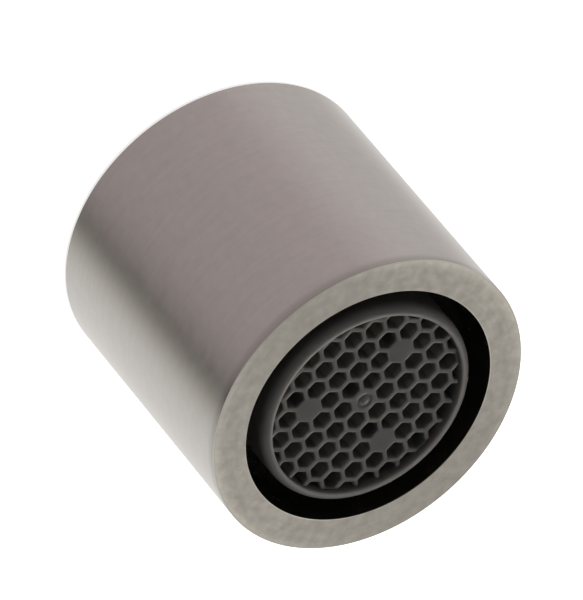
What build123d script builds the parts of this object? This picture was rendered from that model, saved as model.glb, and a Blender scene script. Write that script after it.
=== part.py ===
from build123d import *
import math
import os

# Tap aerator with an internal thread, standing on its inlet rim.
# Millimetres. Z is the axis and the way the water leaves, with the inlet rim at 0.

# Internal thread for the spout, bored here to its minor diameter
thread_major = 22.0
thread_pitch = 1.0
thread_height_share = 1.0825
thread_length = 4.6
lead_in_clearance = 0.1
relief_width = 1.6
relief_clearance = 0.1

# Sleeve
sleeve_wall = 1.0
sleeve_length = 22.5
shoulder_width = 0.96
edge_break = 0.2

# Sealing washer
washer_thickness = 2.0
washer_width = 2.1
washer_clearance = 0.05
washer_stand_in = 0.4

# Nozzle: flange, tube with air windows, and rim
flange_floor = 0.6
flange_clearance = 0.15
air_gap = 1.4
tube_wall = 0.7
rim_recess = 0.1
rim_land = 0.32
window_count = 6
window_width = 4.0
window_height = 2.2
window_offset = 0.7

# Honeycomb outlet
cell_pitch = 1.654
cell_wall = 0.32
honeycomb_recess = 0.6
honeycomb_depth = 3.4
closed_cells = [(0, 0), (1, 2), (-3, 1), (2, -3)]

# Inlet sieve
brim_thickness = 0.5
brim_overlap = 0.45
basket_clearance = 0.6
basket_height = 2.4
basket_wall = 0.6
mesh_pitch = 2.1
mesh_opening = 1.4

# Jet splitter
splitter_thickness = 1.2
jet_count = 18
jet_width = 0.7
jet_length = 1.8
jet_inset = 0.6

# Bar grids
grid_thickness = 2.0
grid_edge = 0.8
grid_pitch = 1.9
grid_opening = 1.1
grid_turn = 90

# Shared by the pieces that drop into the nozzle
insert_clearance = 0.05
least_opening_share = 0.15

# Radii, from the thread inwards
seat_radius = (thread_major - thread_height_share * thread_pitch) / 2
sleeve_radius = thread_major / 2 + sleeve_wall
outlet_radius = seat_radius - shoulder_width
washer_radius = seat_radius - washer_clearance
washer_bore_radius = washer_radius - washer_width
flange_radius = seat_radius - flange_clearance
tube_radius = outlet_radius - air_gap
tube_bore_radius = tube_radius - tube_wall
counterbore_radius = washer_bore_radius + brim_overlap
brim_radius = counterbore_radius - insert_clearance
basket_radius = washer_bore_radius - basket_clearance
grid_radius = tube_bore_radius - insert_clearance

# Heights, from the inlet rim to the outlet face
relief_end = thread_length + relief_width
washer_z = relief_end - washer_stand_in
flange_z = washer_z + washer_thickness
splitter_z = flange_z + brim_thickness
counterbore_floor = splitter_z + splitter_thickness
seat_z = counterbore_floor + flange_floor
basket_top = flange_z - basket_height
rim_z = sleeve_length - rim_recess
honeycomb_front = rim_z - honeycomb_recess
honeycomb_back = honeycomb_front - honeycomb_depth


# A solid of revolution about Z, from its half section in (radius, height) points
def turned(*points):
    half_section = make_face(Plane.XZ * Polyline(*points, close=True))
    return revolve(half_section, Axis.Z)


# The openings of a pattern trimmed to a round wall, without the slivers left along it
def trimmed(opening, places, radius):
    reach = opening.bounding_box().diagonal / 2
    kept = []
    for place in places:
        distance = math.hypot(place.position.X, place.position.Y)
        if distance + reach <= radius:
            kept.append(place * opening)
        elif distance - reach < radius:
            inside = (place * opening) & Circle(radius)
            if inside.area > least_opening_share * opening.area:
                kept.append(inside)
    return Sketch() + kept


# Centres of a square grid that covers a disc of this radius
def square_places(pitch, radius):
    count = 2 * math.ceil(radius / pitch) + 1
    return GridLocations(pitch, pitch, count, count)


# Housing: threaded inlet, relief groove, seat bore, shoulder and outlet bore
def make_sleeve():
    mouth_radius = thread_major / 2 + lead_in_clearance
    lead_in = mouth_radius - seat_radius
    relief_radius = thread_major / 2 + relief_clearance
    return turned(
        (mouth_radius, 0),
        (sleeve_radius - edge_break, 0),
        (sleeve_radius, edge_break),
        (sleeve_radius, sleeve_length - edge_break),
        (sleeve_radius - edge_break, sleeve_length),
        (outlet_radius + edge_break, sleeve_length),
        (outlet_radius, sleeve_length - edge_break),
        (outlet_radius, seat_z),
        (seat_radius, seat_z),
        (seat_radius, relief_end),
        (relief_radius, relief_end),
        (relief_radius, thread_length),
        (seat_radius, thread_length),
        (seat_radius, lead_in),
    )


# Flat ring that seals the spout's rim against the flange
def make_washer():
    return turned(
        (washer_bore_radius, washer_z),
        (washer_radius, washer_z),
        (washer_radius, flange_z),
        (washer_bore_radius, flange_z),
    )


# Centres of the honeycomb cells, on a triangular lattice with one row along X
def cell_places():
    reach = math.ceil(tube_bore_radius / (cell_pitch * math.sqrt(3) / 2)) + 1
    places = []
    for row in range(-reach, reach + 1):
        for column in range(-2 * reach, 2 * reach + 1):
            if (column, row) in closed_cells:
                continue
            places.append(Pos((column + row / 2) * cell_pitch, row * cell_pitch * math.sqrt(3) / 2))
    return places


# Flange, tube and honeycomb, moulded as one piece
def make_nozzle():
    land_radius = tube_bore_radius + rim_land
    nozzle = turned(
        (0, honeycomb_back),
        (tube_bore_radius, honeycomb_back),
        (tube_bore_radius, counterbore_floor),
        (counterbore_radius, counterbore_floor),
        (counterbore_radius, flange_z),
        (flange_radius, flange_z),
        (flange_radius, seat_z),
        (tube_radius, seat_z),
        (tube_radius, rim_z - (tube_radius - land_radius)),
        (land_radius, rim_z),
        (tube_bore_radius, rim_z),
        (tube_bore_radius, honeycomb_front),
        (0, honeycomb_front),
    )
    cell = RegularPolygon((cell_pitch - cell_wall) / 2, 6, major_radius=False, rotation=30)
    cells = trimmed(cell, cell_places(), tube_bore_radius)
    nozzle -= extrude(Pos(0, 0, honeycomb_back) * cells, honeycomb_depth)

    window = Box(2 * tube_radius, window_width, window_height)
    window_z = seat_z + window_offset + window_height / 2
    windows = Pos(0, 0, window_z) * PolarLocations(tube_radius, window_count) * window
    return nozzle - windows


# Basket with a meshed top, held by its brim under the washer
def make_sieve():
    basket_bore_radius = basket_radius - basket_wall
    sieve = turned(
        (0, basket_top),
        (basket_radius, basket_top),
        (basket_radius, flange_z),
        (brim_radius, flange_z),
        (brim_radius, splitter_z),
        (basket_bore_radius, splitter_z),
        (basket_bore_radius, basket_top + basket_wall),
        (0, basket_top + basket_wall),
    )
    mesh_places = square_places(mesh_pitch, basket_bore_radius)
    mesh = trimmed(Rectangle(mesh_opening, mesh_opening), mesh_places, basket_bore_radius)
    return sieve - extrude(Pos(0, 0, basket_top) * mesh, basket_wall)


# Disc with a ring of jet slots
def make_splitter():
    jet_centre = tube_bore_radius - jet_inset - jet_length / 2
    jets = PolarLocations(jet_centre, jet_count) * Rectangle(jet_length, jet_width)
    disc = Circle(brim_radius) - jets
    return extrude(Pos(0, 0, splitter_z) * disc, splitter_thickness)


# Disc of parallel bars inside a round edge
def make_grid(bottom_z):
    opening_radius = grid_radius - grid_edge
    bar_places = GridLocations(0, grid_pitch, 1, 2 * math.ceil(opening_radius / grid_pitch))
    openings = trimmed(Rectangle(2 * grid_radius, grid_opening), bar_places, opening_radius)
    grid = Circle(grid_radius) - openings
    return extrude(Pos(0, 0, bottom_z) * grid, grid_thickness)


lower_grid_z = honeycomb_back - grid_thickness
upper_grid_z = lower_grid_z - grid_thickness

pieces = {
    "sleeve": make_sleeve(),
    "sealing_washer": make_washer(),
    "inlet_sieve": make_sieve(),
    "jet_splitter": make_splitter(),
    "upper_grid": Rot(0, 0, grid_turn) * make_grid(upper_grid_z),
    "lower_grid": make_grid(lower_grid_z),
    "nozzle": make_nozzle(),
}

os.makedirs("parts", exist_ok=True)
for name, piece in pieces.items():
    export_step(piece, f"parts/{name}.step")
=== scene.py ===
import bpy
import math
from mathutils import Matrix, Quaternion, Vector


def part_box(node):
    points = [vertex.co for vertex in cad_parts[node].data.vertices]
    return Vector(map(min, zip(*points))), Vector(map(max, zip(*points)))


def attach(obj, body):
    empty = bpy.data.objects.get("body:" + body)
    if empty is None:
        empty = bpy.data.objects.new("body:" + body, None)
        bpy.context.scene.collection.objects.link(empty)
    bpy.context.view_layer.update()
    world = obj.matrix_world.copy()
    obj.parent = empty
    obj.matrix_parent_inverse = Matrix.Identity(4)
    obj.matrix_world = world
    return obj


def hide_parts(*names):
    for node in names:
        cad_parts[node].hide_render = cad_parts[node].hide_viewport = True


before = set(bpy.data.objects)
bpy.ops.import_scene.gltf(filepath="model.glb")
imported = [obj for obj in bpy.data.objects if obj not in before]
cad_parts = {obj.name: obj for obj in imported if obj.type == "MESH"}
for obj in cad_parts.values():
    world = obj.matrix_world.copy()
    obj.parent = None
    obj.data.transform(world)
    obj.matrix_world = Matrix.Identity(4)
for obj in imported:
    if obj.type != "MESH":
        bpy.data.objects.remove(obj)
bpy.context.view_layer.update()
mm = 0.001
weld = 0.0005               # mm, points closer than this are one point
noiseSpan = (0.3, 0.7)      # most of a noise texture lies in here


# radius and end heights of a round node in mm, to the micrometre
def roundBox(node):
    low, high = (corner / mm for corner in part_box(node))
    return {"radius": round(high.x, 3), "low": round(low.z, 3), "high": round(high.z, 3)}


def deselectAll():
    if bpy.context.mode != "OBJECT":
        bpy.ops.object.mode_set(mode="OBJECT")
    bpy.ops.object.select_all(action="DESELECT")


def pick(piece):
    deselectAll()
    piece.select_set(True)
    bpy.context.view_layer.objects.active = piece


def applyModifier(piece, kind, **settings):
    pick(piece)
    modifier = piece.modifiers.new(kind.lower(), kind)
    for key, value in settings.items():
        setattr(modifier, key, value)
    bpy.ops.object.modifier_apply(modifier=modifier.name)


# cuts, joins or trims a piece with a tool body, which is used up
def boolean(piece, tool, operation):
    applyModifier(piece, "BOOLEAN", object=tool, operation=operation, solver="MANIFOLD")
    bpy.data.objects.remove(tool)


# a copy with its own mesh, moved sideways in mm
def copyTo(pattern, x, y):
    piece = pattern.copy()
    piece.data = pattern.data.copy()
    piece.location += Vector((x * mm, y * mm, 0))
    bpy.context.collection.objects.link(piece)
    return piece


def joinPieces(pieces):
    deselectAll()
    for piece in pieces:
        piece.select_set(True)
    bpy.context.view_layer.objects.active = pieces[0]
    bpy.ops.object.join()
    bpy.ops.object.transform_apply(location=True)
    return pieces[0]


# points that meet are merged first, if a distance in mm is given
def faceOutward(piece, merge=None):
    pick(piece)
    bpy.ops.object.mode_set(mode="EDIT")
    bpy.ops.mesh.select_all(action="SELECT")
    if merge:
        bpy.ops.mesh.remove_doubles(threshold=merge * mm)
    bpy.ops.mesh.normals_make_consistent(inside=False)
    bpy.ops.object.mode_set(mode="OBJECT")


# pulls the selected outline from one (size, height) in mm through the next ones
def pullThrough(start, steps):
    size, height = start
    for nextSize, nextHeight in steps:
        rise = (nextHeight - height) * mm
        bpy.ops.mesh.extrude_region_move(TRANSFORM_OT_translate={"value": (0, 0, rise)})
        share = nextSize / size
        bpy.ops.transform.resize(value=(share, share, 1), center_override=(0, 0, nextHeight * mm))
        size, height = nextSize, nextHeight


# one ring pulled along a closed section of (radius, height) in mm, as on a lathe
def turnSection(name, section, segments):
    deselectAll()
    radius, height = section[0]
    bpy.ops.mesh.primitive_circle_add(vertices=segments, radius=radius * mm)
    piece = bpy.context.object
    piece.name = name
    bpy.ops.object.mode_set(mode="EDIT")
    bpy.ops.mesh.select_all(action="SELECT")
    bpy.ops.transform.translate(value=(0, 0, height * mm))
    pullThrough(section[0], section[1:] + section[:1])
    faceOutward(piece, weld)
    return piece


# rounds every edge that is sharper than the angle
def softenEdges(piece, width, steps, angle=30):
    pick(piece)
    bpy.ops.object.mode_set(mode="EDIT")
    bpy.ops.mesh.select_mode(type="EDGE")
    bpy.ops.mesh.select_all(action="DESELECT")
    bpy.ops.mesh.edges_select_sharp(sharpness=math.radians(angle))
    bpy.ops.mesh.bevel(offset=width * mm, segments=steps, affect="EDGES")
    bpy.ops.mesh.select_mode(type="VERT")
    bpy.ops.object.mode_set(mode="OBJECT")


# closes up tiny edges, then takes out the points that lie on an edge between two faces
def cleanMesh(piece):
    pick(piece)
    bpy.ops.object.mode_set(mode="EDIT")
    bpy.ops.mesh.select_all(action="SELECT")
    bpy.ops.mesh.dissolve_degenerate(threshold=weld * mm)
    bpy.ops.mesh.select_all(action="DESELECT")
    bpy.ops.object.mode_set(mode="OBJECT")
    edgesAt = [0] * len(piece.data.vertices)
    for edge in piece.data.edges:
        for end in edge.vertices:
            edgesAt[end] += 1
    for vertex in piece.data.vertices:
        vertex.select = edgesAt[vertex.index] == 2
    bpy.ops.object.mode_set(mode="EDIT")
    bpy.ops.mesh.dissolve_verts()
    bpy.ops.object.mode_set(mode="OBJECT")


# smooth shading that keeps the large faces flat, then the piece takes its node's place
def finishPiece(piece, node, material, angle=40):
    cleanMesh(piece)
    bpy.ops.object.shade_smooth_by_angle(angle=math.radians(angle))
    applyModifier(piece, "WEIGHTED_NORMAL", mode="FACE_AREA", weight=100, keep_sharp=True)
    piece.data.materials.clear()
    piece.data.materials.append(material)
    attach(piece, "root")
    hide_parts(node)


def linear(hexText):
    parts = [int(hexText[i:i + 2], 16) / 255 for i in (1, 3, 5)]
    return [p / 12.92 if p <= 0.04045 else ((p + 0.055) / 1.055) ** 2.4 for p in parts] + [1.0]


# one node with its settings, and its sockets given a value or a link
def addNode(tree, kind, sockets=None, **settings):
    node = tree.nodes.new(kind)
    for key, value in settings.items():
        setattr(node, key, value)
    for socket, value in (sockets or {}).items():
        if isinstance(value, bpy.types.NodeSocket):
            tree.links.new(value, node.inputs[socket])
        else:
            node.inputs[socket].default_value = value
    return node


def newMaterial(name):
    material = bpy.data.materials.new(name)
    material.use_nodes = True
    material.node_tree.nodes.clear()
    return material, material.node_tree


# Stainless steel, turned and then brushed round: fine rings on the barrel and on the outlet face,
# which stretch every reflection along the axis and leave it sharper around the barrel
steelLook = {
    "colour": "#d7d2ce",
    "colourDark": "#bbb7b1",
    "colourEdgeShade": "#b0aca7",        # painted shade: a dark line along the outlet's outer edge
    "edgeHeight": (21.5, 22.4),     # mm, from none of the painted shade to all of it
    "edgeRadius": (11.84, 11.96),   # mm
    "roughness": (0.285, 0.355),
    "faceSmooth": 0.62,             # share of the roughness on the cut face
    "anisotropy": 0.8,
    "blurTurn": 0.25,               # of a turn, so that the blur runs across the rings
    "lineWidth": 0.3,               # mm, coarser than real grit so that it shows
    "lineLength": 4.0,              # mm
    "lineDepth": 0.0015,            # mm
    "mottleSize": 0.8,              # mm
    "mottleShare": 0.55,            # of the grain, beside the lines
    "faceHeight": 22.3,             # mm, above which the cut face is mottled more
}


def makeBrushedSteel(look):
    material, tree = newMaterial("brushed_stainless_steel")
    place = addNode(tree, "ShaderNodeTexCoord").outputs["Object"]
    flat = addNode(tree, "ShaderNodeVectorMath", {0: place, 1: (1, 1, 0)}, operation="MULTIPLY")
    radius = addNode(tree, "ShaderNodeVectorMath", {0: flat.outputs[0]}, operation="LENGTH")
    axes = addNode(tree, "ShaderNodeSeparateXYZ", {0: place})
    # lines that run round, stacked up the barrel and across the face
    ring = addNode(tree, "ShaderNodeMath",
                   {0: radius.outputs["Value"], 1: axes.outputs["Z"]}, operation="ADD")
    ringPlace = addNode(tree, "ShaderNodeCombineXYZ",
                        {0: axes.outputs["X"], 1: axes.outputs["Y"], 2: ring.outputs[0]})
    along = 1 / (look["lineLength"] * mm)
    over = 1 / (look["lineWidth"] * mm)
    brushPlace = addNode(tree, "ShaderNodeVectorMath",
                         {0: ringPlace.outputs[0], 1: (along, along, over)}, operation="MULTIPLY")
    brush = addNode(tree, "ShaderNodeTexNoise",
                    {"Vector": brushPlace.outputs[0], "Scale": 1.0, "Detail": 2.0, "Roughness": 0.5})
    # mottling, with more contrast on the face
    mottle = addNode(tree, "ShaderNodeTexNoise",
                     {"Vector": place, "Scale": 1 / (look["mottleSize"] * mm), "Detail": 4.0})
    noiseLow, noiseHigh = noiseSpan
    strong = addNode(tree, "ShaderNodeMapRange",
                     {"Value": mottle.outputs["Fac"], "From Min": noiseLow, "From Max": noiseHigh})
    onFace = addNode(tree, "ShaderNodeMath",
                     {0: axes.outputs["Z"], 1: look["faceHeight"] * mm}, operation="GREATER_THAN")
    blotch = addNode(tree, "ShaderNodeMix",
                     {"Factor": onFace.outputs[0], "A": mottle.outputs["Fac"],
                      "B": strong.outputs["Result"]})
    grain = addNode(tree, "ShaderNodeMix",
                    {"Factor": look["mottleShare"], "A": brush.outputs["Fac"],
                     "B": blotch.outputs[0]})
    colour = addNode(tree, "ShaderNodeMix",
                     {"Factor": grain.outputs[0], "A": linear(look["colourDark"]),
                      "B": linear(look["colour"])}, data_type="RGBA")
    # painted shade: a darker line along the outlet's outer edge, standing in for a dark reflection
    # there
    low, high = look["edgeHeight"]
    above = addNode(tree, "ShaderNodeMapRange",
                    {"Value": axes.outputs["Z"], "From Min": low * mm, "From Max": high * mm},
                    interpolation_type="SMOOTHSTEP")
    inner, outer = look["edgeRadius"]
    paintedShadingMask = addNode(tree, "ShaderNodeMapRange",
                   {"Value": radius.outputs["Value"], "From Min": inner * mm, "From Max": outer * mm,
                    "To Min": 0.0, "To Max": above.outputs["Result"]})
    shadedEdge = addNode(tree, "ShaderNodeMix",
                   {"Factor": paintedShadingMask.outputs["Result"], "A": colour.outputs["Result"],
                    "B": linear(look["colourEdgeShade"])}, data_type="RGBA")
    low, high = look["roughness"]
    rough = addNode(tree, "ShaderNodeMapRange",
                    {"Value": grain.outputs[0], "From Min": noiseLow, "From Max": noiseHigh,
                     "To Min": low, "To Max": high})
    smooth = addNode(tree, "ShaderNodeMapRange",
                     {"Value": onFace.outputs[0], "To Min": 1.0, "To Max": look["faceSmooth"]})
    finish = addNode(tree, "ShaderNodeMath",
                     {0: rough.outputs["Result"], 1: smooth.outputs["Result"]}, operation="MULTIPLY")
    around = addNode(tree, "ShaderNodeVectorMath",
                     {0: (0, 0, 1), 1: flat.outputs[0]}, operation="CROSS_PRODUCT")
    tangent = addNode(tree, "ShaderNodeVectorMath", {0: around.outputs[0]}, operation="NORMALIZE")
    bump = addNode(tree, "ShaderNodeBump",
                   {"Strength": 1.0, "Distance": look["lineDepth"] * mm,
                    "Height": brush.outputs["Fac"]})
    steel = addNode(tree, "ShaderNodeBsdfPrincipled",
                    {"Base Color": shadedEdge.outputs["Result"], "Metallic": 1.0,
                     "Roughness": finish.outputs[0], "Anisotropic": look["anisotropy"],
                     "Anisotropic Rotation": look["blurTurn"], "Tangent": tangent.outputs[0],
                     "Normal": bump.outputs["Normal"]})
    addNode(tree, "ShaderNodeOutputMaterial", {"Surface": steel.outputs[0]})
    return material


# The same steel as the lathe left it, inside: smoother, with no brushing, and darker, which is painted
# shade for the deep bores
boreLook = {
    "colour": "#8d8882",
    "colourDark": "#7b766f",
    "roughness": (0.2, 0.28),
    "stainSize": 1.2,       # mm
}


def makeBoreSteel(look):
    material, tree = newMaterial("turned_steel_painted_shade")
    place = addNode(tree, "ShaderNodeTexCoord").outputs["Object"]
    stain = addNode(tree, "ShaderNodeTexNoise",
                    {"Vector": place, "Scale": 1 / (look["stainSize"] * mm), "Detail": 3.0})
    colour = addNode(tree, "ShaderNodeMix",
                     {"Factor": stain.outputs["Fac"], "A": linear(look["colourDark"]),
                      "B": linear(look["colour"])}, data_type="RGBA")
    noiseLow, noiseHigh = noiseSpan
    low, high = look["roughness"]
    rough = addNode(tree, "ShaderNodeMapRange",
                    {"Value": stain.outputs["Fac"], "From Min": noiseLow, "From Max": noiseHigh,
                     "To Min": low, "To Max": high})
    steel = addNode(tree, "ShaderNodeBsdfPrincipled",
                    {"Base Color": colour.outputs["Result"], "Metallic": 1.0,
                     "Roughness": rough.outputs["Result"]})
    addNode(tree, "ShaderNodeOutputMaterial", {"Surface": steel.outputs[0]})
    return material


# Dark grey acetal, injection moulded: dull, faintly grained, with a paler painted highlight on the
# rim's crest and a little on the gate pip's top, and thin walls let some light through
acetalLook = {
    "colour": "#403f3e",
    "colourLight": "#484746",
    "colourHighlight": "#5a5857",
    "highlightHeight": (21.95, 22.45),     # mm, from no painted highlight to all of it
    "highlightRadius": (7.56, 7.74),       # mm, from all of the painted highlight to none
    "roughness": (0.55, 0.65),
    "ior": 1.48,
    "gloss": 0.2,
    "glow": 1.0,
    "glowTint": (1.06, 1.0, 0.95),
    "glowDepth": 1.65,      # mm
    "grainSize": 0.12,      # mm
    "grainDepth": 0.002,    # mm
    "cloudSize": 2.5,       # mm
}

# Natural acetal for the inner pieces: milky, satin
paleLook = {
    "colour": "#c6c7c2",
    "colourLight": "#d3d3ce",
    "roughness": (0.37, 0.47),
    "ior": 1.48,
    "gloss": 0.5,
    "glow": 0.4,
    "glowTint": (1.0, 1.0, 1.0),
    "glowDepth": 0.7,       # mm
    "grainSize": 0.15,      # mm
    "grainDepth": 0.002,    # mm
    "cloudSize": 3.0,       # mm
}


def makeMouldedPlastic(name, look):
    material, tree = newMaterial(name)
    place = addNode(tree, "ShaderNodeTexCoord").outputs["Object"]
    cloud = addNode(tree, "ShaderNodeTexNoise",
                    {"Vector": place, "Scale": 1 / (look["cloudSize"] * mm), "Detail": 2.0})
    grain = addNode(tree, "ShaderNodeTexNoise",
                    {"Vector": place, "Scale": 1 / (look["grainSize"] * mm), "Detail": 2.0})
    colour = addNode(tree, "ShaderNodeMix",
                     {"Factor": cloud.outputs["Fac"], "A": linear(look["colour"]),
                      "B": linear(look["colourLight"])}, data_type="RGBA")
    # painted highlight: a paler colour on the rim's crest and the top of the gate pip
    if "colourHighlight" in look:
        axes = addNode(tree, "ShaderNodeSeparateXYZ", {0: place})
        flat = addNode(tree, "ShaderNodeVectorMath", {0: place, 1: (1, 1, 0)}, operation="MULTIPLY")
        radius = addNode(tree, "ShaderNodeVectorMath", {0: flat.outputs[0]}, operation="LENGTH")
        low, high = look["highlightHeight"]
        above = addNode(tree, "ShaderNodeMapRange",
                        {"Value": axes.outputs["Z"], "From Min": low * mm, "From Max": high * mm},
                        interpolation_type="SMOOTHSTEP")
        inner, outer = look["highlightRadius"]
        paintedShadingMask = addNode(tree, "ShaderNodeMapRange",
                       {"Value": radius.outputs["Value"], "From Min": inner * mm,
                        "From Max": outer * mm, "To Min": above.outputs["Result"], "To Max": 0.0},
                       interpolation_type="SMOOTHSTEP")
        colour = addNode(tree, "ShaderNodeMix",
                         {"Factor": paintedShadingMask.outputs["Result"], "A": colour.outputs["Result"],
                          "B": linear(look["colourHighlight"])}, data_type="RGBA")
    noiseLow, noiseHigh = noiseSpan
    low, high = look["roughness"]
    rough = addNode(tree, "ShaderNodeMapRange",
                    {"Value": grain.outputs["Fac"], "From Min": noiseLow, "From Max": noiseHigh,
                     "To Min": low, "To Max": high})
    bump = addNode(tree, "ShaderNodeBump",
                   {"Strength": 1.0, "Distance": look["grainDepth"] * mm,
                    "Height": grain.outputs["Fac"]})
    plastic = addNode(tree, "ShaderNodeBsdfPrincipled",
                      {"Base Color": colour.outputs["Result"], "Roughness": rough.outputs["Result"],
                       "IOR": look["ior"], "Specular IOR Level": look["gloss"],
                       "Subsurface Weight": look["glow"], "Subsurface Radius": look["glowTint"],
                       "Subsurface Scale": look["glowDepth"] * mm, "Normal": bump.outputs["Normal"]})
    addNode(tree, "ShaderNodeOutputMaterial", {"Surface": plastic.outputs[0]})
    return material


# Nitrile rubber, moulded: black, dull, with a dusty bloom
rubberLook = {
    "colour": "#1d1d1e",
    "colourBloom": "#2f2e2d",
    "roughness": (0.62, 0.82),
    "ior": 1.52,
    "bloomSize": 0.9,       # mm
    "grainSize": 0.1,       # mm
    "grainDepth": 0.006,    # mm
}


def makeRubber(look):
    material, tree = newMaterial("nitrile_rubber")
    place = addNode(tree, "ShaderNodeTexCoord").outputs["Object"]
    bloom = addNode(tree, "ShaderNodeTexNoise",
                    {"Vector": place, "Scale": 1 / (look["bloomSize"] * mm), "Detail": 4.0})
    grain = addNode(tree, "ShaderNodeTexNoise",
                    {"Vector": place, "Scale": 1 / (look["grainSize"] * mm), "Detail": 2.0})
    colour = addNode(tree, "ShaderNodeMix",
                     {"Factor": bloom.outputs["Fac"], "A": linear(look["colour"]),
                      "B": linear(look["colourBloom"])}, data_type="RGBA")
    noiseLow, noiseHigh = noiseSpan
    low, high = look["roughness"]
    rough = addNode(tree, "ShaderNodeMapRange",
                    {"Value": bloom.outputs["Fac"], "From Min": noiseLow, "From Max": noiseHigh,
                     "To Min": low, "To Max": high})
    bump = addNode(tree, "ShaderNodeBump",
                   {"Strength": 1.0, "Distance": look["grainDepth"] * mm,
                    "Height": grain.outputs["Fac"]})
    rubber = addNode(tree, "ShaderNodeBsdfPrincipled",
                     {"Base Color": colour.outputs["Result"], "Roughness": rough.outputs["Result"],
                      "IOR": look["ior"], "Normal": bump.outputs["Normal"]})
    addNode(tree, "ShaderNodeOutputMaterial", {"Surface": rubber.outputs[0]})
    return material


brushedSteel = makeBrushedSteel(steelLook)
boreSteel = makeBoreSteel(boreLook)
darkAcetal = makeMouldedPlastic("dark_grey_acetal", acetalLook)
paleAcetal = makeMouldedPlastic("natural_acetal", paleLook)
nitrileRubber = makeRubber(rubberLook)
print("materials made")

# Sleeve: turned in one piece, with the spout's thread cut in the inlet. Radii, heights and
# widths of every piece are in mm.
sleeveBox = roundBox("sleeve")
sleeveSpec = {
    "radius": sleeveBox["radius"],
    "length": sleeveBox["high"],
    "edgeBreak": 0.2,
    "crownWidth": 0.95,     # the outlet face falls away towards its outer edge
    "crownDrop": 0.085,
    "crownSteps": 10,
    "faceMargin": 0.12,     # kept flat beside the bore
    "outletBore": 9.499,
    "shoulder": 10.1,
    "seatBore": 10.459,
    "reliefBore": 11.1,
    "reliefTop": 6.2,
    "threadTop": 4.6,
    "threadRoot": 11.0,
    "pitch": 1.0,
    "crestFlat": 0.25,      # shares of half a pitch
    "rootFlat": 0.125,
    "rowsPerPitch": 20,
    "segments": 256,
    "softWidth": 0.05,
    "softSteps": 3,
    "innerFacing": 0.3,     # least share by which a bore looks inwards, or a step along the axis
    "endDepth": 0.5,        # the brushed finish reaches this far in at both ends
}


def makeSleeve(spec):
    wall, length, broken = spec["radius"], spec["length"], spec["edgeBreak"]
    outlet, seat, relief = spec["outletBore"], spec["seatBore"], spec["reliefBore"]
    section = [(relief, 0), (wall - broken, 0), (wall, broken)]
    for step in range(spec["crownSteps"] + 1):
        share = step / spec["crownSteps"]
        fall = spec["crownDrop"] * (1 - share) ** 2
        section.append((wall - spec["crownWidth"] * share, length - fall))
    section += [
        (outlet + spec["faceMargin"], length), (outlet, length), (outlet, spec["shoulder"]),
        (seat, spec["shoulder"]), (seat, spec["reliefTop"]), (relief, spec["reliefTop"]),
        (relief, spec["threadTop"]),
    ]
    # rows down the thread, and along the lead-in at its mouth
    rows = round(spec["threadTop"] / spec["pitch"] * spec["rowsPerPitch"])
    for row in range(rows):
        height = spec["threadTop"] * (1 - row / rows)
        section.append((max(seat, relief - height), height))
    sleeve = turnSection("sleeve_turned", section, spec["segments"])
    softenEdges(sleeve, spec["softWidth"], spec["softSteps"])
    # the thread's groove winds up the rows, right-handed
    flank = 1 - spec["crestFlat"] - spec["rootFlat"]
    for vertex in sleeve.data.vertices:
        x, y, z = vertex.co / mm
        radius = math.hypot(x, y)
        if z > spec["threadTop"] or radius > spec["threadRoot"]:
            continue
        turn = (z / spec["pitch"] - math.atan2(y, x) / (2 * math.pi)) % 1
        depth = min(1, max(0, (abs(2 * turn - 1) - spec["crestFlat"]) / flank))
        groove = seat + depth * (spec["threadRoot"] - seat)
        if groove > radius:
            vertex.co.x *= groove / radius
            vertex.co.y *= groove / radius
    return sleeve


# the bores and the steps between them keep the lathe's finish, in the darker steel whose colour is
# painted shade
def finishBore(sleeve, spec, material):
    sleeve.data.materials.append(material)
    low, high = spec["endDepth"], spec["length"] - spec["endDepth"]
    for face in sleeve.data.polygons:
        outward = face.normal.xy.dot(face.center.xy) / face.center.xy.length
        isStep = low < face.center.z / mm < high and abs(face.normal.z) > spec["innerFacing"]
        if outward < -spec["innerFacing"] or isStep:
            face.material_index = 1


sleeve = makeSleeve(sleeveSpec)
finishPiece(sleeve, "sleeve", brushedSteel)
finishBore(sleeve, sleeveSpec, boreSteel)
print("sleeve", len(sleeve.data.polygons), "faces")

# Nozzle: flange, tube with air windows and honeycomb outlet, moulded as one
nozzleBox = roundBox("nozzle")
nozzleSpec = {
    "tubeBore": 7.399,
    "tube": 8.099,
    "crest": 7.58,
    "shoulderDrop": 0.95,
    "lip": 0.15,
    "roundSteps": 8,
    "rim": 22.48,
    "flangeBack": sleeveSpec["shoulder"],
    "flange": nozzleBox["radius"],
    "flangeFront": nozzleBox["low"],
    "counterbore": 8.759,
    "counterboreFloor": roundBox("jet_splitter")["high"],
    "segments": 192,
    "softWidth": 0.08,
    "softSteps": 3,
    "windows": 6,
    "windowWidth": 4.0,
    "windowHeight": 2.2,
    "windowMiddle": 11.9,
    "windowReach": 2.0,     # through the tube's wall
    "boreRows": 16,
    "rowMargin": 0.1,
}

combSpec = {
    "pitch": 1.654,
    "wall": 0.34,
    "front": 21.88,
    "back": roundBox("lower_grid")["high"],
    "embed": 0.08,          # into the tube's wall
    "closedCells": [(0, 0), (1, 2), (-3, 1), (2, -3)],
    "cornerWidth": 0.17,
    "cornerSteps": 3,
    "cellWeld": 0.002,
    "softWidth": 0.15,
    "softSteps": 4,
    "softAngle": 50,        # degrees
    "gateRadius": 0.47,
    "gateGroove": 0.16,
    "gateSegments": (40, 12),       # round the ring and round its groove
    "gatePip": 0.22,
    "gatePipHeight": 0.16,
    "pipSegments": (24, 12),        # around and from pole to pole
}


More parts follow.
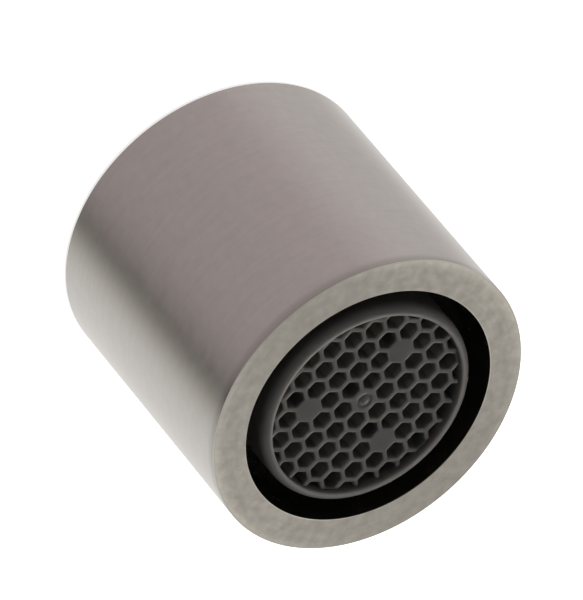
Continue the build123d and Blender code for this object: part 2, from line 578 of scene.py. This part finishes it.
def addCell(spec, closed):
    corner = spec["pitch"] / math.sqrt(3) * mm
    share = spec["pitch"] / (spec["pitch"] - spec["wall"])
    middle = (0, 0, (spec["front"] + spec["back"]) / 2 * mm)
    deselectAll()
    if closed:
        bpy.ops.mesh.primitive_circle_add(vertices=6, radius=corner, fill_type="NGON", location=middle)
        return bpy.context.object
    # the opening's outline with rounded corners, bridged to the middle of the walls
    bpy.ops.mesh.primitive_circle_add(vertices=6, radius=corner / share, location=middle)
    bpy.ops.object.mode_set(mode="EDIT")
    bpy.ops.mesh.select_all(action="SELECT")
    bpy.ops.mesh.bevel(offset=spec["cornerWidth"] * mm, segments=spec["cornerSteps"],
                       affect="VERTICES")
    bpy.ops.mesh.primitive_circle_add(vertices=6, radius=corner, location=middle)
    bpy.ops.mesh.select_all(action="SELECT")
    bpy.ops.mesh.bridge_edge_loops()
    bpy.ops.object.mode_set(mode="OBJECT")
    return bpy.context.object


# witness of the moulding gate on the middle pad: a groove round a low pip
def addGateMark(comb, spec):
    place = (0, 0, spec["front"] * mm)
    around, across = spec["gateSegments"]
    deselectAll()
    bpy.ops.mesh.primitive_torus_add(major_radius=spec["gateRadius"] * mm, major_segments=around,
                                     minor_radius=spec["gateGroove"] * mm, minor_segments=across,
                                     location=place)
    boolean(comb, bpy.context.object, "DIFFERENCE")
    around, rings = spec["pipSegments"]
    deselectAll()
    bpy.ops.mesh.primitive_uv_sphere_add(segments=around, ring_count=rings,
                                         radius=spec["gatePip"] * mm, location=place)
    pip = bpy.context.object
    pip.scale.z = spec["gatePipHeight"] / spec["gatePip"]
    bpy.ops.object.transform_apply(location=True, rotation=True, scale=True)
    boolean(comb, pip, "UNION")


def makeHoneycomb(spec, tubeBore, segments):
    openCell = addCell(spec, False)
    closedCell = addCell(spec, True)
    rowStep = spec["pitch"] * math.sqrt(3) / 2
    reach = math.ceil(tubeBore / rowStep) + 1
    cells = []
    for row in range(-reach, reach + 1):
        for column in range(-2 * reach, 2 * reach + 1):
            x, y = (column + row / 2) * spec["pitch"], row * rowStep
            if math.hypot(x, y) > tubeBore + spec["pitch"] / 2:
                continue
            pattern = closedCell if (column, row) in spec["closedCells"] else openCell
            cells.append(copyTo(pattern, x, y))
    bpy.data.objects.remove(openCell)
    bpy.data.objects.remove(closedCell)
    comb = joinPieces(cells)
    faceOutward(comb, spec["cellWeld"])
    # the sheet lies at half depth, so it thickens the same way to both sides
    depth = spec["front"] - spec["back"]
    applyModifier(comb, "SOLIDIFY", thickness=depth * mm, offset=0)
    faceOutward(comb)
    softenEdges(comb, spec["softWidth"], spec["softSteps"], spec["softAngle"])
    # trimmed round, by a cylinder that stands out at both ends
    deselectAll()
    bpy.ops.mesh.primitive_cylinder_add(vertices=segments, radius=(tubeBore + spec["embed"]) * mm,
                                        depth=2 * depth * mm, end_fill_type="NGON",
                                        location=(0, 0, (spec["back"] + depth / 2) * mm))
    boolean(comb, bpy.context.object, "INTERSECT")
    addGateMark(comb, spec)
    return comb


# one block for each air window, joined as one cutter
def addWindowCutter(spec):
    blocks = []
    for window in range(spec["windows"]):
        turn = 2 * math.pi * window / spec["windows"]
        x, y = spec["tube"] * math.cos(turn), spec["tube"] * math.sin(turn)
        deselectAll()
        bpy.ops.mesh.primitive_cube_add(size=mm, rotation=(0, 0, turn),
                                        location=(x * mm, y * mm, spec["windowMiddle"] * mm))
        block = bpy.context.object
        block.scale = (spec["windowReach"], spec["windowWidth"], spec["windowHeight"])
        bpy.ops.object.transform_apply(location=True, rotation=True, scale=True)
        blocks.append(block)
    return joinPieces(blocks)


def makeNozzle(spec, comb, combFront, combBack):
    tube, bore, rim = spec["tube"], spec["tubeBore"], spec["rim"]
    section = [
        (bore, spec["counterboreFloor"]), (spec["counterbore"], spec["counterboreFloor"]),
        (spec["counterbore"], spec["flangeFront"]), (spec["flange"], spec["flangeFront"]),
        (spec["flange"], spec["flangeBack"]), (tube, spec["flangeBack"]),
    ]
    # the rim is rounded over, wide outside and tight inside
    crest, drop, lip = spec["crest"], spec["shoulderDrop"], spec["lip"]
    bends = [math.pi / 2 * step / spec["roundSteps"] for step in range(spec["roundSteps"] + 1)]
    for bend in bends:
        radius = crest + (tube - crest) * math.cos(bend)
        section.append((radius, rim - drop * (1 - math.sin(bend))))
    for bend in bends:
        section.append((bore + lip * (1 - math.sin(bend)), rim - lip * (1 - math.cos(bend))))
    # rows down the bore, where the honeycomb joins it
    rowTop = combFront + spec["rowMargin"]
    rowStep = (combFront - combBack + 2 * spec["rowMargin"]) / spec["boreRows"]
    for row in range(spec["boreRows"] + 1):
        section.append((bore, rowTop - row * rowStep))
    nozzle = turnSection("nozzle_moulded", section, spec["segments"])
    softenEdges(nozzle, spec["softWidth"], spec["softSteps"])
    boolean(nozzle, addWindowCutter(spec), "DIFFERENCE")
    boolean(nozzle, comb, "UNION")
    return nozzle


honeycomb = makeHoneycomb(combSpec, nozzleSpec["tubeBore"], nozzleSpec["segments"])
print("honeycomb", len(honeycomb.data.polygons), "faces")
nozzle = makeNozzle(nozzleSpec, honeycomb, combSpec["front"], combSpec["back"])
finishPiece(nozzle, "nozzle", darkAcetal)
print("nozzle", len(nozzle.data.polygons), "faces")

# Sealing washer: a moulded flat ring with rounded edges
washerBox = roundBox("sealing_washer")
washerSpec = {
    "radius": washerBox["radius"],
    "front": washerBox["low"],
    "back": washerBox["high"],
    "width": 2.1,
    "segments": 160,
    "softWidth": 0.25,
    "softSteps": 4,
}


def makeWasher(spec):
    outer, front, back = spec["radius"], spec["front"], spec["back"]
    inner = outer - spec["width"]
    section = [(inner, front), (outer, front), (outer, back), (inner, back)]
    washer = turnSection("washer_moulded", section, spec["segments"])
    softenEdges(washer, spec["softWidth"], spec["softSteps"])
    return washer


washer = makeWasher(washerSpec)
finishPiece(washer, "sealing_washer", nitrileRubber)
print("washer", len(washer.data.polygons), "faces")

# Inlet sieve: a moulded basket, with a square mesh in its floor
sieveBox = roundBox("inlet_sieve")
sieveSpec = {
    "basket": 7.709,
    "basketBore": 7.109,
    "brim": sieveBox["radius"],
    "front": sieveBox["low"],
    "floor": 0.6,
    "brimFront": nozzleSpec["flangeFront"],
    "brimBack": sieveBox["high"],
    "middle": 0.3,          # radius inside the middle opening
    "pitch": 2.1,
    "opening": 1.4,
    "meshReach": 6.7,
    "cornerWidth": 0.2,
    "cornerSteps": 3,
    "fillet": 0.14,
    "filletSteps": 4,
    "over": 0.1,            # the cutter stands out by this
    "segments": 144,
    "softWidth": 0.14,
    "softSteps": 3,
}


# one opening, flared towards the inlet
def addMeshCutter(spec):
    half, fillet, front = spec["opening"] / 2, spec["fillet"], spec["front"]
    steps = [(half + fillet, front)]
    for step in range(1, spec["filletSteps"] + 1):
        bend = math.pi / 2 * step / spec["filletSteps"]
        steps.append((half + fillet * (1 - math.sin(bend)), front + fillet * (1 - math.cos(bend))))
    steps.append((half, front + spec["floor"] + spec["over"]))
    size, height = half + fillet, front - spec["over"]
    deselectAll()
    bpy.ops.mesh.primitive_circle_add(vertices=4, radius=size * math.sqrt(2) * mm, fill_type="NGON",
                                      rotation=(0, 0, math.pi / 4), location=(0, 0, height * mm))
    cutter = bpy.context.object
    bpy.ops.object.transform_apply(location=True, rotation=True)
    bpy.ops.object.mode_set(mode="EDIT")
    bpy.ops.mesh.select_all(action="SELECT")
    bpy.ops.mesh.bevel(offset=spec["cornerWidth"] * mm, segments=spec["cornerSteps"],
                       affect="VERTICES")
    bpy.ops.mesh.select_all(action="SELECT")
    pullThrough((size, height), steps)
    faceOutward(cutter)
    return cutter


def makeSieve(spec):
    front, floor = spec["front"], spec["front"] + spec["floor"]
    section = [
        (spec["middle"], front), (spec["basket"], front), (spec["basket"], spec["brimFront"]),
        (spec["brim"], spec["brimFront"]), (spec["brim"], spec["brimBack"]),
        (spec["basketBore"], spec["brimBack"]), (spec["basketBore"], floor), (spec["middle"], floor),
    ]
    sieve = turnSection("sieve_moulded", section, spec["segments"])
    softenEdges(sieve, spec["softWidth"], spec["softSteps"])
    pattern = addMeshCutter(spec)
    reach = math.ceil(spec["meshReach"] / spec["pitch"])
    cutters = []
    for row in range(-reach, reach + 1):
        for column in range(-reach, reach + 1):
            x, y = column * spec["pitch"], row * spec["pitch"]
            if math.hypot(x, y) <= spec["meshReach"]:
                cutters.append(copyTo(pattern, x, y))
    bpy.data.objects.remove(pattern)
    mesh = joinPieces(cutters)
    # the outer openings end at the basket's wall
    deselectAll()
    bpy.ops.mesh.primitive_cylinder_add(vertices=spec["segments"], radius=spec["basketBore"] * mm,
                                        depth=4 * spec["floor"] * mm, end_fill_type="NGON",
                                        location=(0, 0, floor * mm))
    boolean(mesh, bpy.context.object, "INTERSECT")
    boolean(sieve, mesh, "DIFFERENCE")
    return sieve


sieve = makeSieve(sieveSpec)
finishPiece(sieve, "inlet_sieve", paleAcetal)
print("sieve", len(sieve.data.polygons), "faces")

# The pieces inside the nozzle keep their CAD shapes
for name in ("jet_splitter", "upper_grid", "lower_grid"):
    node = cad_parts[name]
    node.data.materials.clear()
    node.data.materials.append(paleAcetal)

# Floor: white to the camera, with a faint shadow, and open from below
floorLook = {
    "size": 8.0,                    # m
    "gap": 0.02,                    # mm, so that it never shares the inlet's face
    "colour": "#f4f4f4",
    "glow": 0.62,                   # under the part, and 1 further out
    "shadowReach": (0.02, 0.08),    # m
}


def makeFloor(look):
    deselectAll()
    bpy.ops.mesh.primitive_plane_add(size=look["size"], location=(0, 0, -look["gap"] * mm))
    floor = bpy.context.object
    floor.name = "floor"
    material, tree = newMaterial("white_floor")
    light = addNode(tree, "ShaderNodeLightPath")
    side = addNode(tree, "ShaderNodeNewGeometry")
    matt = addNode(tree, "ShaderNodeBsdfDiffuse", {"Color": linear(look["colour"])})
    place = addNode(tree, "ShaderNodeTexCoord").outputs["Object"]
    reach = addNode(tree, "ShaderNodeVectorMath", {0: place}, operation="LENGTH")
    start, end = look["shadowReach"]
    glow = addNode(tree, "ShaderNodeMapRange",
                   {"Value": reach.outputs["Value"], "From Min": start, "From Max": end,
                    "To Min": look["glow"], "To Max": 1.0})
    share = addNode(tree, "ShaderNodeMath",
                    {0: light.outputs["Is Camera Ray"], 1: glow.outputs["Result"]},
                    operation="MULTIPLY")
    white = addNode(tree, "ShaderNodeEmission",
                    {"Color": (1, 1, 1, 1), "Strength": share.outputs[0]})
    seen = addNode(tree, "ShaderNodeAddShader", {0: matt.outputs[0], 1: white.outputs[0]})
    clear = addNode(tree, "ShaderNodeBsdfTransparent")
    both = addNode(tree, "ShaderNodeMixShader",
                   {0: side.outputs["Backfacing"], 1: seen.outputs[0], 2: clear.outputs[0]})
    addNode(tree, "ShaderNodeOutputMaterial", {"Surface": both.outputs[0]})
    floor.data.materials.append(material)
    floor.visible_glossy = False    # metal shows the studio beyond the floor
    floor.visible_diffuse = False   # light reaches the inlet from below
    floor.visible_shadow = False


makeFloor(floorLook)

# Studio: white board on the far side, a dark gap beside it, grey room behind the camera.
# Each stop is (azimuth in degrees, brightness, tint). Values named From and To are shares of
# the unit sphere's radius.
studio = {
    "stops": [
        (-180, 0.48, "room"), (-120, 0.43, "room"), (-88, 0.4, "room"), (-71, 0.315, "room"),
        (-57.5, 0.01, "room"), (-46, 0.5, "warm"), (-30, 0.825, "board"), (0, 0.95, "board"),
        (30, 1.10, "board"), (72, 1.16, "board"), (86, 0.84, "board"), (99, 0.615, "side"),
        (145, 0.66, "side"), (164, 0.57, "room"), (180, 0.48, "room"),
    ],
    "tints": {
        "room": (1.12, 1.0, 1.02),
        "warm": (1.0, 1.0, 0.88),
        "board": (1.0, 1.0, 1.0),
        "side": (1.04, 1.0, 1.0),
    },
    "ceilingFrom": -0.1,    # height where the ceiling begins
    "ceilingTo": 0.25,
    "farWay": 51,           # azimuth of the far side, in degrees
    "farFrom": -0.4,        # depth where the ceiling's far part begins
    "farTo": 0.3,
    "ceilingFar": (0.475, 0.465, 0.428),
    "farSides": (1.2, 1.175, 1.09),         # what metal shows of its left and right
    "sidesFrom": 0.05,
    "sidesTo": 0.5,
    "nearLow": 1.0,         # brightness of the near ceiling, low and high up
    "nearHigh": 0.04,
    "nearFrom": 0.15,
    "nearTo": 0.55,
    "mirroredNear": (0.34, 0.333, 0.306),   # what metal shows of it
}


def makeStudio(look):
    world = bpy.data.worlds.new("studio")
    bpy.context.scene.world = world
    world.use_nodes = True
    tree = world.node_tree
    tree.nodes.clear()
    way = addNode(tree, "ShaderNodeTexCoord").outputs["Generated"]
    axes = addNode(tree, "ShaderNodeSeparateXYZ", {0: way})
    light = addNode(tree, "ShaderNodeLightPath")
    # walls, by azimuth
    azimuth = addNode(tree, "ShaderNodeMath",
                      {0: axes.outputs["Y"], 1: axes.outputs["X"]}, operation="ARCTAN2")
    turn = addNode(tree, "ShaderNodeMapRange",
                   {"Value": azimuth.outputs[0], "From Min": -math.pi, "From Max": math.pi})
    walls = addNode(tree, "ShaderNodeValToRGB", {0: turn.outputs["Result"]})
    ramp = walls.color_ramp
    ramp.interpolation = "EASE"
    for angle, level, tint in look["stops"]:
        place = (angle + 180) / 360
        if place in (0, 1):
            stop = ramp.elements[0 if place == 0 else -1]
        else:
            stop = ramp.elements.new(place)
        stop.color = [level * share for share in look["tints"][tint]] + [1.0]
    # near ceiling, darker overhead
    fill = addNode(tree, "ShaderNodeMapRange",
                   {"Value": axes.outputs["Z"], "From Min": look["nearFrom"],
                    "From Max": look["nearTo"], "To Min": look["nearLow"], "To Max": look["nearHigh"]})
    near = addNode(tree, "ShaderNodeMix",
                   {"Factor": light.outputs["Is Glossy Ray"], "A": fill.outputs["Result"],
                    "B": (*look["mirroredNear"], 1.0)}, data_type="RGBA")
    # far ceiling, brighter to its left and right
    far = math.radians(look["farWay"])
    sideways = addNode(tree, "ShaderNodeVectorMath",
                       {0: way, 1: (-math.sin(far), math.cos(far), 0)}, operation="DOT_PRODUCT")
    aside = addNode(tree, "ShaderNodeMath", {0: sideways.outputs["Value"]}, operation="ABSOLUTE")
    flank = addNode(tree, "ShaderNodeMapRange",
                    {"Value": aside.outputs[0], "From Min": look["sidesFrom"],
                     "From Max": look["sidesTo"], "To Max": light.outputs["Is Glossy Ray"]})
    beyond = addNode(tree, "ShaderNodeMix",
                     {"Factor": flank.outputs["Result"], "A": (*look["ceilingFar"], 1.0),
                      "B": (*look["farSides"], 1.0)}, data_type="RGBA")
    # both parts of the ceiling, over the walls
    depth = addNode(tree, "ShaderNodeVectorMath",
                    {0: way, 1: (math.cos(far), math.sin(far), 0)}, operation="DOT_PRODUCT")
    isFar = addNode(tree, "ShaderNodeMapRange",
                    {"Value": depth.outputs["Value"], "From Min": look["farFrom"],
                     "From Max": look["farTo"]}, interpolation_type="SMOOTHSTEP")
    ceiling = addNode(tree, "ShaderNodeMix",
                      {"Factor": isFar.outputs["Result"], "A": near.outputs["Result"],
                       "B": beyond.outputs["Result"]}, data_type="RGBA")
    height = addNode(tree, "ShaderNodeMapRange",
                     {"Value": axes.outputs["Z"], "From Min": look["ceilingFrom"],
                      "From Max": look["ceilingTo"]}, interpolation_type="SMOOTHSTEP")
    room = addNode(tree, "ShaderNodeMix",
                   {"Factor": height.outputs["Result"], "A": walls.outputs["Color"],
                    "B": ceiling.outputs["Result"]}, data_type="RGBA")
    seen = addNode(tree, "ShaderNodeMix",
                   {"Factor": light.outputs["Is Camera Ray"], "A": room.outputs["Result"],
                    "B": (1, 1, 1, 1)}, data_type="RGBA")
    back = addNode(tree, "ShaderNodeBackground", {"Color": seen.outputs["Result"], "Strength": 1.0})
    addNode(tree, "ShaderNodeOutputWorld", {"Surface": back.outputs[0]})


makeStudio(studio)

# Soft lamp straight in front of the outlet
lampSpec = {
    "azimuth": 51,          # degrees
    "elevation": 88,        # degrees
    "distance": 0.5,        # m
    "size": 0.25,           # m
    "power": 1.72,          # W
    "colour": "#ffffff",
}


def addLamp(spec):
    turn, tilt = math.radians(spec["azimuth"]), math.radians(spec["elevation"])
    way = Vector((math.cos(turn) * math.cos(tilt), math.sin(turn) * math.cos(tilt), math.sin(tilt)))
    deselectAll()
    bpy.ops.object.light_add(type="AREA", location=way * spec["distance"])
    lamp = bpy.context.object
    lamp.rotation_mode = "QUATERNION"
    lamp.rotation_quaternion = (-way).to_track_quat("-Z", "Y")
    lamp.data.size = spec["size"]
    lamp.data.energy = spec["power"]
    lamp.data.color = linear(spec["colour"])[:3]
    lamp.visible_camera = False
    lamp.visible_glossy = False     # the steel shows only the studio


addLamp(lampSpec)

# Camera: long lens, turned about its own axis as the photograph is
cameraSpec = {
    "place": (-0.315115, -0.394456, 0.486583),      # m
    "aim": (-0.004323, -0.004436, 0.015969),        # m
    "roll": 140,            # degrees
    "lens": 600,            # mm
    "sensor": 36,           # mm
    "clip": (0.05, 20),     # m
}


def addCamera(spec):
    deselectAll()
    bpy.ops.object.camera_add(location=spec["place"])
    camera = bpy.context.object
    way = Vector(spec["aim"]) - Vector(spec["place"])
    roll = Quaternion((0, 0, 1), math.radians(spec["roll"]))
    camera.rotation_mode = "QUATERNION"
    camera.rotation_quaternion = way.to_track_quat("-Z", "Y") @ roll
    camera.data.lens = spec["lens"]
    camera.data.sensor_width = spec["sensor"]
    camera.data.clip_start, camera.data.clip_end = spec["clip"]
    bpy.context.scene.camera = camera


addCamera(cameraSpec)
bpy.context.scene.view_settings.view_transform = "Standard"
print("stage, lamp and camera placed")
